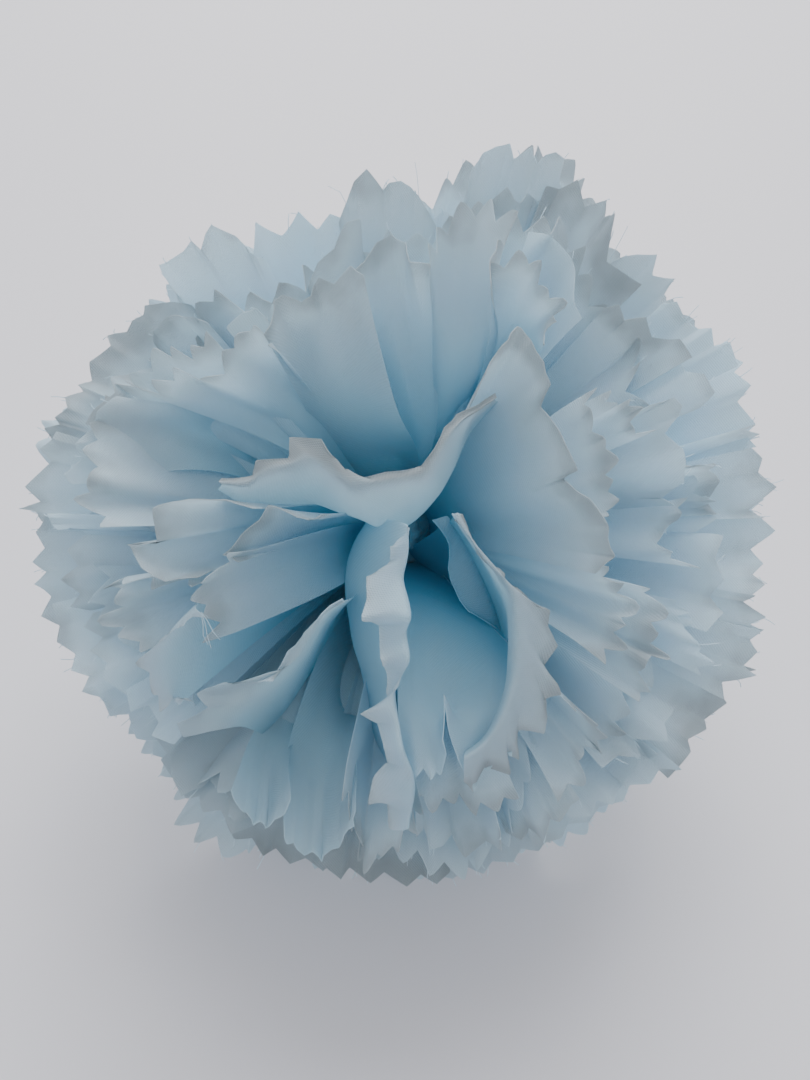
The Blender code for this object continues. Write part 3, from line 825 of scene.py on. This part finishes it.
REGULAR = {5: (54, 0.95), 7: (78, 1.0), 8: (94, 1.0)}
PETALS_ROUND = 9
UNPALED = -0.95
OVERLAP = 1.25
TROUGH_AT, TROUGH_WIDTH, TROUGH_OPENS = 250, 32, 9
GATHERS, GATHER_DEPTH, GATHER_TWIST = 9, 0.08, 900


def middle_of_disc(tier):
    """The uncut middle of a tier's disc, gathered in small folds: it rises from the collar and leans in
    on the disc above. The first disc is twisted shut over the post. The dye stays deep up to its end."""
    root, floor = collar(tier)
    rings = ((root + 0.0005, floor + 0.0013), (root - 0.0010, floor + 0.0040))
    if tier == 1:
        rings = ((0.0026, 0.0085), (0.0021, 0.0108), (0.0004, 0.0118))
    turn = np.linspace(0, 2 * np.pi, STEPS)
    lines = [
        ring(turn, radius * (1 + GATHER_DEPTH * np.sin(GATHERS * turn + GATHER_TWIST * height)), height)
        for radius, height in rings
    ]
    still = {"wave": 0.0, "flutter": 0.0, "pleat": 0.0, "tooth_bend": 0.0, "pale": UNPALED, "tone": 1.0}
    return petal(tier, (180, 360), lines, np.linspace(0, 1, 9), range(8), np.random.default_rng(3), **still)


def full_tier(tier):
    """Even shares of the tier, each a little longer or shorter, tilted and lapped over the next. A
    petal's rim falls back towards the root at both ends, as the corners of a cut petal do. The fifth
    tier lies further back below the heart, where the photo shows a trough."""
    polar, long = REGULAR[tier]
    random = np.random.default_rng(8 + tier)
    share = 360 / PETALS_ROUND
    start = random.uniform(0, share)
    petals = []
    for i in range(PETALS_ROUND):
        middle = start + i * share + random.uniform(-4, 4)
        across = np.linspace(-1, 1, 25)
        azimuth = np.radians(middle + across * share * OVERLAP / 2)
        ripple = random.uniform(1, 3.2) * np.sin(across * random.uniform(3, 7) + random.uniform(0, 6.28))
        angle = polar + random.uniform(-2, 2) + random.uniform(-4, 6) * across
        angle = angle + ruffle(azimuth, polar) + ripple
        if tier == 5:
            from_trough = (np.degrees(azimuth) % 360 - TROUGH_AT) / TROUGH_WIDTH
            angle = angle + TROUGH_OPENS * np.exp(-(from_trough**2))
        length = long * random.uniform(0.97, 1.02) * (1 - random.uniform(0.05, 0.13) * np.abs(across) ** 3)
        length = length + 0.012 * np.sin(across * random.uniform(5, 9) + random.uniform(0, 6.28))
        rim = smooth_line(at_angles(azimuth, angle, length), STEPS)
        teeth = round(step_lengths(rim).sum() / TOOTH_PITCH)
        tips = np.linspace(0, 1, teeth + 1)
        tips[1:-1] += random.uniform(-0.13, 0.13, teeth - 1) / teeth
        # Each petal gets a random painted sheen: a random shift along the dye ramp and a random tone.
        petals.append(petal(
            tier, (middle, share), [rim], tips, (), random,
            wave=random.uniform(0.0006, 0.0022), flutter=random.uniform(0.0003, 0.0011), pleat=0.0001,
            tooth_bend=BEND_OF_REGULAR, pale=random.uniform(*PAINTED_SHEEN_SHIFTS), tone=random.uniform(*TONE),
        ))
    return petals


tiers = {tier: heart_petals(tier) if tier in HEART else full_tier(tier) for tier in range(1, TIERS + 1)}
for tier in tiers:
    tiers[tier].append(middle_of_disc(tier))
print("petals in each tier:", [len(petals) for petals in tiers.values()])

# %% [markdown]
# ## Cloth lies on the table
#
# The lowest petals would reach below the table. Real cloth bends and spreads along it. A soft floor
# does the same to the points: heights well above it don't change, and heights below it end on it.

# %% Bend the lowest petals along the table
CLOTH = 0.00007
REST = CLOTH / 2 + 0.00002
SOFTNESS = 0.0006


def on_table(points):
    """Height becomes the rest height plus a soft maximum of zero and the height above rest."""
    room = to_room(points)
    room[..., 2] = REST + SOFTNESS * np.logaddexp(0, (room[..., 2] - REST) / SOFTNESS)
    return room


sunk = to_bloom(np.array([[0, 0, -0.005]]))
print("a point 5 mm below the table ends at", round(1000 * on_table(sunk)[0, 2], 2), "mm")

# %% [markdown]
# ## Grids become cloth
#
# All petals of a tier are cut from one disc of satin, so they are one piece. Each petal is a grid of
# points, and its teeth are in the grid itself. Each point also keeps where it lay on the flat disc,
# which the weave follows, its share of the way from root to rim, moved by the petal's shift along the
# dye ramp, which the colour follows, and its petal's tone. The shift and the tone paint shade and
# sheen. Cut satin frays, so loose threads leave the rims of the outer petals, and the longest of them
# are those in the photo.

# %% Make a tier's mesh
THREAD = 0.00005
THREAD_POINTS = 4
IN_FRONT = 1.01
COLUMNS_PER_FRAY = 9
FRAY_LENGTHS = (0.0002, 0.0009)
FRAY_CURL = 0.45
FRAY_STARTS = -0.0001
THREAD_SHARE, THREAD_TONE = 0.90, 1.05
THREADS = {
    3: {
        "left_bunch": [(201, 612), (205, 624), (207, 636), (211, 648)],
        "left_bunch_short": [(201, 612), (208, 622), (213, 632), (220, 640)],
        "left_bunch_low": [(201, 614), (203, 626), (203, 636), (208, 645)],
    },
    6: {
        "upper_right": [(606, 265), (622, 255), (634, 248), (645, 240)],
        "right": [(682, 323), (692, 318), (703, 311)],
        "top": [(419, 200), (420, 186), (425, 172), (429, 163)],
        "top_curl": [(351, 218), (345, 201), (338, 190), (328, 186)],
        "left": [(66, 398), (58, 393), (52, 394)],
    },
}


def grid_faces(rows, columns, first):
    """Quads between neighbouring points of a grid whose points are numbered row by row."""
    corner = first + np.arange(rows)[:, None] * (columns + 1) + np.arange(columns)[None]
    return np.stack((corner, corner + 1, corner + columns + 2, corner + columns + 1), axis=-1).reshape(-1, 4)


def on_flat_disc(part, points):
    """The distance from the disc's middle is the length of cloth from the root. The angle is the
    petal's own angle, plus the place along its rim over the mean of those distances at the rim."""
    out = np.concatenate((np.zeros((1, points.shape[1])), np.cumsum(step_lengths(points), axis=0)))
    angle = part["turned"] + (part["u"] - 0.5) * part["length"] / out[-1].mean()
    return np.stack((out * np.cos(angle), out * np.sin(angle)), axis=-1)


def frays(surface, random):
    """Threads that have come loose leave the rim in the direction of the cloth, and each of them curls
    away by its own random vector times the squared way along it. Threads by points by two sides."""
    columns = random.integers(1, surface.shape[1] - 1, surface.shape[1] // COLUMNS_PER_FRAY)
    start = surface[-1, columns]
    out = unit(start - surface[-4, columns])
    curl = random.normal(0, FRAY_CURL, start.shape)
    side = THREAD / 2 * unit(np.cross(out, curl))
    length = random.uniform(*FRAY_LENGTHS, (len(columns), 1, 1))
    t = np.linspace(0, 1, THREAD_POINTS)[None, :, None]
    lines = start[:, None] + FRAY_STARTS * out[:, None] + length * (out[:, None] * t + curl[:, None] * t**2)
    return np.stack((lines - side[:, None], lines + side[:, None]), axis=2)


def long_threads(tier):
    """The named threads: smooth lines seen in the picture, as wide as a thread in the picture's x. Those
    of the outline lie on its cone, and those of the heart just in front of its reach."""
    pairs = []
    for places in THREADS.get(tier, {}).values():
        line = seen_at(places, IN_FRONT)
        if tier == OUTLINE_TIER:
            line = on_cone(places, OUTLINE_POLAR, OUTLINE_RUFFLE)
        line = smooth_line(line, THREAD_POINTS)
        pairs.append(np.stack((line, line + (THREAD, 0, 0)), axis=1))
    return np.array(pairs).reshape(-1, THREAD_POINTS, 2, 3)


def cloth_mesh(name, tier, petals):
    """One mesh of all petals' grids, with their flat places as UVs, their share of the way out and their
    tone, which both paint shade and sheen on the petals. An edge with one face is a cut edge of the
    cloth, and stays sharp in the shading. Loose threads are narrow grids in the same mesh."""
    points, faces, flat, share, tone = [], [], [], [], []
    count = 0
    loose = [long_threads(tier)]
    for part in petals:
        surface, s = petal_surface(part)
        points.append(on_table(surface).reshape(-1, 3))
        faces.append(grid_faces(ROWS, len(part["u"]) - 1, count))
        flat.append(on_flat_disc(part, surface).reshape(-1, 2))
        # The shift paints shade and sheen into the share, and the tone paints them into the colour.
        share.append((s + part["pale"] * s**3).ravel())
        tone.append(np.full(s.size, part["tone"]))
        count += s.size
        if tier > INNER_TIERS and part["pale"] != UNPALED:
            loose.append(frays(surface, np.random.default_rng(count)))
    loose = np.concatenate(loose)
    points.append(on_table(loose).reshape(-1, 3))
    firsts = 2 * THREAD_POINTS * np.arange(len(loose))[:, None, None]
    faces.append((grid_faces(THREAD_POINTS - 1, 1, count) + firsts).reshape(-1, 4))
    flat.append(np.zeros((len(points[-1]), 2)))
    share.append(np.full(len(points[-1]), THREAD_SHARE))
    tone.append(np.full(len(points[-1]), THREAD_TONE))
    points, faces, flat = (np.concatenate(x) for x in (points, faces, flat))
    mesh = bpy.data.meshes.new(name)
    mesh.from_pydata(points, [], faces)
    mesh.uv_layers.new(name="cut").uv.foreach_set("vector", flat[faces.ravel()].ravel())
    for key, values in (("from_root", share), ("tone", tone)):
        mesh.attributes.new(key, "FLOAT", "POINT").data.foreach_set("value", np.concatenate(values))
    mesh.shade_smooth()
    sides = np.empty(len(mesh.loops), int)
    mesh.loops.foreach_get("edge_index", sides)
    single = np.bincount(sides, minlength=len(mesh.edges)) == 1
    mesh.attributes.new("sharp_edge", "BOOLEAN", "EDGE").data.foreach_set("value", single)
    return mesh


def piece(name, mesh, material):
    """A finished piece: linked, with its material, and riding on the head's only body."""
    made = bpy.data.objects.new(name, mesh)
    bpy.context.scene.collection.objects.link(made)
    made.data.materials.append(material)
    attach(made, "root")
    return made


print("the largest petal has", max(part["teeth"] for part in sum(tiers.values(), [])), "teeth")

# %% [markdown]
# ## Satin
#
# The cloth is a polyester satin. Seen close, it is a fine weave of shiny threads, and the dye is
# strongest near the gathered middle and almost gone at the rim. Light also comes through it, which is
# why the folds glow. So the finish is a satin shader mixed with a translucent one. Both take the
# colour from the share of the way from root to rim, and a weave of two sets of fine lines, drawn on
# the flat disc, moves the shading and the colour a little. That colour is dye and painted light: the
# deep middle is painted lighter and bluer for the light that bounces between the blue petals, and the
# very rim is painted darker grey, as painted shade of the tooth tips. Satin also looks lighter or
# darker by the way its long threads run, and each petal has a tone of its own that paints this sheen,
# and on some petals painted shade.

# %% Mix the satin
def tree_of(name):
    """A new node material without nodes, and its tree."""
    material = bpy.data.materials.new(name)
    material.use_nodes = True
    material.node_tree.nodes.clear()
    return material, material.node_tree


def node(tree, kind, inputs=(), **settings):
    """A new shader node with its settings. Each input, by its name or number, gets a value, or a link
    from a socket."""
    made = tree.nodes.new("ShaderNode" + kind)
    for key, value in settings.items():
        setattr(made, key, value)
    for key, value in dict(inputs).items():
        if isinstance(value, bpy.types.NodeSocket):
            tree.links.new(value, made.inputs[key])
        else:
            made.inputs[key].default_value = value
    return made


def maths(tree, operation, *values):
    """The output of a Math node. Its inputs are sockets or numbers."""
    return node(tree, "Math", enumerate(values), operation=operation).outputs[0]


def ramp(tree, share, stops):
    """The colour at a share, between stops of a place and a colour each."""
    made = node(tree, "ValToRGB", {0: share})
    while len(made.color_ramp.elements) < len(stops):
        made.color_ramp.elements.new(0.5)
    for element, (where, colour) in zip(made.color_ramp.elements, stops):
        element.position = where
        element.color = (*colour, 1)
    return made.outputs[0]


# The ramp is dye and painted light: its light, saturated blue near the root stands for light bounced between
# the blue petals of the deep middle, and its darker grey at the rim is painted shade of the tooth tips.
DYE_AND_PAINTED_LIGHT = (
    (0.00, (0.42, 0.83, 0.97)), (0.30, (0.53, 0.86, 0.97)), (0.62, (0.68, 0.88, 0.96)),
    (0.84, (0.75, 0.88, 0.95)), (0.93, (0.76, 0.87, 0.92)), (1.00, (0.60, 0.67, 0.70)),
)
DRIFT_OF_DYE = 0.25
WARP_PITCH, WEFT_PITCH = 0.00027, 0.00031
WEAVE_RELIEF = 0.00004
WEAVE_TONE = 0.035
GLOW = 0.62


def satin(name):
    """Dye, weave, sheen and glow in one material."""
    material, tree = tree_of(name)
    on_cloth = node(tree, "UVMap", uv_map="cut").outputs[0]
    blotches = node(tree, "TexNoise", {"Vector": on_cloth, "Scale": 160, "Detail": 3}).outputs[0]
    drift = maths(tree, "MULTIPLY", maths(tree, "SUBTRACT", blotches, 0.5), DRIFT_OF_DYE)
    share = node(tree, "Attribute", attribute_name="from_root").outputs["Fac"]
    dye_with_painted_light = ramp(tree, maths(tree, "ADD", share, drift), DYE_AND_PAINTED_LIGHT)
    across = node(tree, "SeparateXYZ", {0: on_cloth}).outputs
    warp = maths(tree, "SINE", maths(tree, "MULTIPLY", across[0], 2 * np.pi / WARP_PITCH))
    weft = maths(tree, "SINE", maths(tree, "MULTIPLY", across[1], 2 * np.pi / WEFT_PITCH))
    weave = maths(tree, "MULTIPLY", warp, weft)
    relief = node(tree, "Bump", {"Height": weave, "Strength": 0.5, "Distance": WEAVE_RELIEF}).outputs[0]
    # The petal's tone is painted sheen and painted shade, laid over the dye.
    own = node(tree, "Attribute", attribute_name="tone").outputs["Fac"]
    tone = maths(tree, "ADD", maths(tree, "MULTIPLY", weave, WEAVE_TONE), own)
    colour_with_painted_light = node(tree, "VectorMath", {0: dye_with_painted_light, "Scale": tone}, operation="SCALE").outputs[0]
    threads = node(tree, "BsdfPrincipled", {
        "Base Color": colour_with_painted_light, "Normal": relief, "Roughness": 0.38, "Sheen Weight": 0.15,
        "Sheen Roughness": 0.4, "Specular IOR Level": 0.7,
    })
    through_cloth = node(tree, "BsdfTranslucent", {"Color": colour_with_painted_light, "Normal": relief})
    both = node(tree, "MixShader", {0: GLOW, 1: threads.outputs[0], 2: through_cloth.outputs[0]})
    node(tree, "OutputMaterial", {"Surface": both.outputs[0]})
    return material


petal_satin = satin("petal_satin")
print("threads per centimetre:", round(0.01 / WARP_PITCH), "by", round(0.01 / WEFT_PITCH))

# %% [markdown]
# ## The calyx's plastic
#
# The imported calyx has the right shape and stays. The real one is moulded in matt green plastic. It has
# a fine grain and low ribs along its length, and shade is painted a little darker between the ribs. The
# ribs are a sine wave of the angle round the bloom's axis, so they need coordinates in the bloom's own
# frame.

# %% Mix the green plastic and put it on the imported calyx
RIBS = 20
RIB_SHARE = 0.16
GREENS = ((0.30, (0.120, 0.195, 0.080)), (0.75, (0.170, 0.265, 0.112)))
PLASTIC_RELIEF = 0.00008
plastic, tree = tree_of("calyx_plastic_finish")
where = node(tree, "TexCoord").outputs["Object"]
in_bloom = node(tree, "Mapping", {
    "Vector": where, "Location": ROOT, "Rotation": (np.pi / 2 - RISE, 0, 0),
}, vector_type="TEXTURE")
apart = node(tree, "SeparateXYZ", {0: in_bloom.outputs[0]}).outputs
angle = maths(tree, "ARCTAN2", apart[1], apart[0])
ribs = maths(tree, "SINE", maths(tree, "MULTIPLY", angle, RIBS))
grain = node(tree, "TexNoise", {"Vector": where, "Scale": 3000, "Detail": 4}).outputs[0]
# The ribs also move the colour: the plastic is painted darker between them, as painted shade in the grooves.
tone = maths(tree, "ADD", maths(tree, "MULTIPLY", ribs, RIB_SHARE), grain)
relief = node(tree, "Bump", {"Height": tone, "Strength": 0.35, "Distance": PLASTIC_RELIEF}).outputs[0]
shader = node(tree, "BsdfPrincipled", {
    "Base Color": ramp(tree, tone, GREENS), "Normal": relief, "Roughness": 0.62,
})
node(tree, "OutputMaterial", {"Surface": shader.outputs[0]})
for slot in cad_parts["calyx"].material_slots:
    slot.material = plastic
print("calyx slots with the plastic:", len(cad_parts["calyx"].material_slots))

# %% [markdown]
# ## Make the tiers
#
# Each tier replaces its plain solid. The cloth is a single surface until here, and a thin wall gives
# it the thickness of satin, so that its pinked edge catches the light.

# %% Make the tiers
for tier, petals in tiers.items():
    name = f"petal_tier_{tier}"
    cloth = piece(f"satin_tier_{tier}", cloth_mesh(name, tier, petals), petal_satin)
    thick = cloth.modifiers.new("thickness", "SOLIDIFY")
    thick.thickness = CLOTH
    thick.offset = 0
    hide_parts(name)

# %% [markdown]
# ## Table and light
#
# The head lies on a plain white surface in soft light. A large lamp above and behind it is the window,
# a weak one in front is the room, and a pale sky all round softens the shadow under the petals. The
# sky is darker on the photographer's side, so the low petals in front are shaded.

# %% Table and light
table = bpy.data.meshes.new("table")
table.from_pydata([(-3, -3, 0), (3, -3, 0), (3, 3, 0), (-3, 3, 0)], [], [(0, 1, 2, 3)])
table = bpy.data.objects.new("table", table)
bpy.context.scene.collection.objects.link(table)
paint, tree = tree_of("white_table")
shader = node(tree, "BsdfPrincipled", {"Base Color": (0.715, 0.705, 0.745, 1), "Roughness": 0.6})
node(tree, "OutputMaterial", {"Surface": shader.outputs[0]})
table.data.materials.append(paint)


def lamp(name, place, power, size):
    """A square lamp that looks at the head."""
    light = bpy.data.lights.new(name, "AREA")
    light.energy = power
    light.size = size
    made = bpy.data.objects.new(name, light)
    made.location = place
    made.rotation_euler = (Vector(place) - Vector(ROOT)).to_track_quat("Z", "Y").to_euler()
    bpy.context.scene.collection.objects.link(made)


lamp("window", place=(0.06, 0.66, 0.78), power=12.5, size=0.8)
lamp("room", place=(0.0, -0.45, 0.6), power=1.0, size=0.5)
sky = bpy.data.worlds.new("sky")
bpy.context.scene.world = sky
sky.use_nodes = True
tree = sky.node_tree
direction = node(tree, "TexCoord").outputs["Generated"]
towards_window = node(tree, "SeparateXYZ", {0: direction}).outputs[1]
strength = node(tree, "MapRange", {
    "Value": towards_window, "From Min": -1.0, "From Max": 0.5, "To Min": 0.50, "To Max": 1.0,
})
background = tree.nodes["Background"]
tree.links.new(strength.outputs[0], background.inputs["Strength"])
background.inputs["Color"].default_value = (0.95, 0.96, 1.0, 1)
print("lamps:", [light.name for light in bpy.data.lights])
